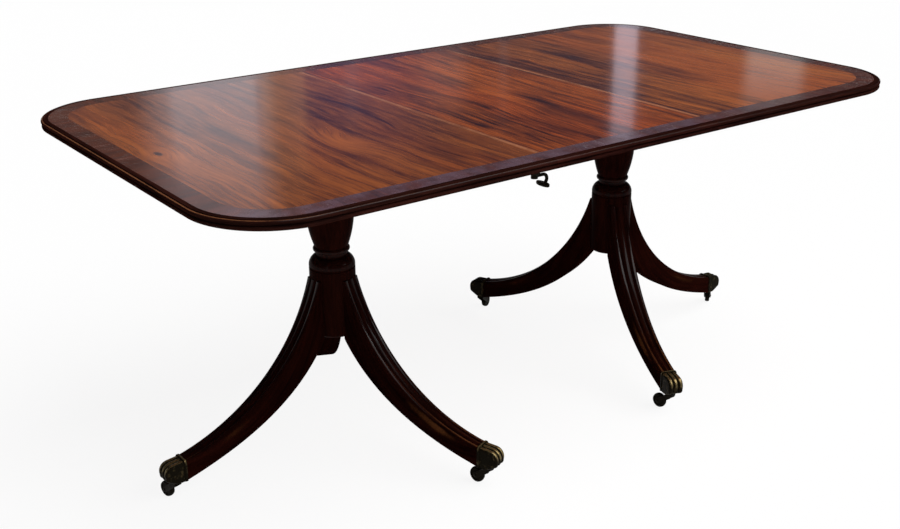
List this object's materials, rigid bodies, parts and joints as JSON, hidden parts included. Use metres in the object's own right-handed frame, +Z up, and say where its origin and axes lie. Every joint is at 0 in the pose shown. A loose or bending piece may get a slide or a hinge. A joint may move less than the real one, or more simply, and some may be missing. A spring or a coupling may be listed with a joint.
{
  "type": "double pedestal dining table",
  "caption": "Extending dining table with a crossbanded round-cornered top, a loose leaf, and turned pedestals on reeded sabre legs with brass toe caps and casters.",
  "frame": {"origin": "on the floor, under the middle of the top", "axes": "+X along the length of the top, towards the end without the sockets; +Y across the width, away from the side with the left catch; +Z up"},
  "size_m": [1.818, 1.02, 0.762],
  "materials": {
    "end_mahogany": "polished",
    "leaf_mahogany": "polished",
    "crossband_mahogany": "polished",
    "edge_mahogany": "polished",
    "pedestal_mahogany": "polished",
    "underframe_wood": "satin",
    "dowel_wood": "satin",
    "cap_brass": "aged",
    "caster_brass": "aged",
    "caster_wheel": "aged",
    "catch_brass": "aged",
    "iron": "matte",
    "steel": "satin"
  },
  "bodies": {
    "left_end": {"left_top_board": "end_mahogany", "left_crossband": "crossband_mahogany", "left_edge_moulding": "edge_mahogany", "left_bearers": "underframe_wood", "left_block": "underframe_wood", "left_column": "pedestal_mahogany", "left_spider_plate": "iron", "left_screws": "steel", "left_catch_case": "catch_brass", "left_leg_end": "pedestal_mahogany", "left_toe_cap_end": "cap_brass", "left_leg_near": "pedestal_mahogany", "left_toe_cap_near": "cap_brass", "left_leg_far": "pedestal_mahogany", "left_toe_cap_far": "cap_brass"},
    "right_end": {"right_top_board": "end_mahogany", "right_crossband": "crossband_mahogany", "right_edge_moulding": "edge_mahogany", "right_bearers": "underframe_wood", "right_block": "underframe_wood", "right_column": "pedestal_mahogany", "right_spider_plate": "iron", "right_screws": "steel", "right_catch_case": "catch_brass", "right_leg_end": "pedestal_mahogany", "right_toe_cap_end": "cap_brass", "right_leg_near": "pedestal_mahogany", "right_toe_cap_near": "cap_brass", "right_leg_far": "pedestal_mahogany", "right_toe_cap_far": "cap_brass", "right_dowels": "dowel_wood"},
    "leaf": {"leaf_board": "leaf_mahogany", "leaf_crossband_near": "crossband_mahogany", "leaf_crossband_far": "crossband_mahogany", "leaf_edge_moulding_near": "edge_mahogany", "leaf_edge_moulding_far": "edge_mahogany", "leaf_dowels": "dowel_wood", "leaf_strike_plates": "catch_brass"},
    "left_caster_end": {"left_caster_fork_end": "caster_brass", "left_caster_axle_end": "caster_brass"},
    "left_wheel_end": {"left_caster_wheel_end": "caster_wheel"},
    "left_caster_near": {"left_caster_fork_near": "caster_brass", "left_caster_axle_near": "caster_brass"},
    "left_wheel_near": {"left_caster_wheel_near": "caster_wheel"},
    "left_caster_far": {"left_caster_fork_far": "caster_brass", "left_caster_axle_far": "caster_brass"},
    "left_wheel_far": {"left_caster_wheel_far": "caster_wheel"},
    "left_catch": {"left_catch_cam": "catch_brass", "left_catch_lever": "catch_brass"},
    "right_caster_end": {"right_caster_fork_end": "caster_brass", "right_caster_axle_end": "caster_brass"},
    "right_wheel_end": {"right_caster_wheel_end": "caster_wheel"},
    "right_caster_near": {"right_caster_fork_near": "caster_brass", "right_caster_axle_near": "caster_brass"},
    "right_wheel_near": {"right_caster_wheel_near": "caster_wheel"},
    "right_caster_far": {"right_caster_fork_far": "caster_brass", "right_caster_axle_far": "caster_brass"},
    "right_wheel_far": {"right_caster_wheel_far": "caster_wheel"},
    "right_catch": {"right_catch_cam": "catch_brass", "right_catch_lever": "catch_brass"}
  },
  "joints": [
    {"name": "leaf_pull_off", "type": "slide", "parent": "left_end", "child": "leaf", "axis": [1, 0, 0], "range_m": [0, 0.15]},
    {"name": "right_end_pull_off", "type": "slide", "parent": "leaf", "child": "right_end", "axis": [1, 0, 0], "range_m": [0, 0.15]},
    {"name": "left_caster_swivel_end", "type": "hinge", "parent": "left_end", "child": "left_caster_end", "pos_m": [-0.84557, -0.01901, 0.05], "axis": [0, 0, 1], "continuous": true},
    {"name": "left_wheel_roll_end", "type": "hinge", "parent": "left_caster_end", "child": "left_wheel_end", "pos_m": [-0.85331, 0.01204, 0.018], "axis": [-0.9703, -0.2419, 0], "continuous": true},
    {"name": "left_caster_swivel_near", "type": "hinge", "parent": "left_end", "child": "left_caster_near", "pos_m": [-0.27923, -0.37708, 0.05], "axis": [0, 0, 1], "continuous": true},
    {"name": "left_wheel_roll_near", "type": "hinge", "parent": "left_caster_near", "child": "left_wheel_near", "pos_m": [-0.28642, -0.3459, 0.018], "axis": [-0.9744, -0.225, 0], "continuous": true},
    {"name": "left_caster_swivel_far", "type": "hinge", "parent": "left_end", "child": "left_caster_far", "pos_m": [-0.26227, 0.36999, 0.05], "axis": [0, 0, 1], "continuous": true},
    {"name": "left_wheel_roll_far", "type": "hinge", "parent": "left_caster_far", "child": "left_wheel_far", "pos_m": [-0.27055, 0.4009, 0.018], "axis": [-0.9659, -0.2588, 0], "continuous": true},
    {"name": "right_caster_swivel_end", "type": "hinge", "parent": "right_end", "child": "right_caster_end", "pos_m": [0.84594, 0.00731, 0.05], "axis": [0, 0, 1], "continuous": true},
    {"name": "right_wheel_roll_end", "type": "hinge", "parent": "right_caster_end", "child": "right_wheel_end", "pos_m": [0.87115, 0.02701, 0.018], "axis": [-0.6157, 0.788, 0], "continuous": true},
    {"name": "right_caster_swivel_near", "type": "hinge", "parent": "right_end", "child": "right_caster_near", "pos_m": [0.28318, -0.3786, 0.05], "axis": [0, 0, 1], "continuous": true},
    {"name": "right_wheel_roll_near", "type": "hinge", "parent": "right_caster_near", "child": "right_wheel_near", "pos_m": [0.28095, -0.34668, 0.018], "axis": [-0.9976, -0.0698, 0], "continuous": true},
    {"name": "right_caster_swivel_far", "type": "hinge", "parent": "right_end", "child": "right_caster_far", "pos_m": [0.29715, 0.38362, 0.05], "axis": [0, 0, 1], "continuous": true},
    {"name": "right_wheel_roll_far", "type": "hinge", "parent": "right_caster_far", "child": "right_wheel_far", "pos_m": [0.32566, 0.39815, 0.018], "axis": [-0.454, 0.891, 0], "continuous": true},
    {"name": "left_catch_turn", "type": "hinge", "parent": "left_end", "child": "left_catch", "pos_m": [-0.252, -0.474, 0.742], "axis": [0, 0, -1], "range_deg": [0, 90]},
    {"name": "right_catch_turn", "type": "hinge", "parent": "right_end", "child": "right_catch", "pos_m": [0.252, 0.474, 0.742], "axis": [0, 0, -1], "range_deg": [0, 90]}
  ]
}
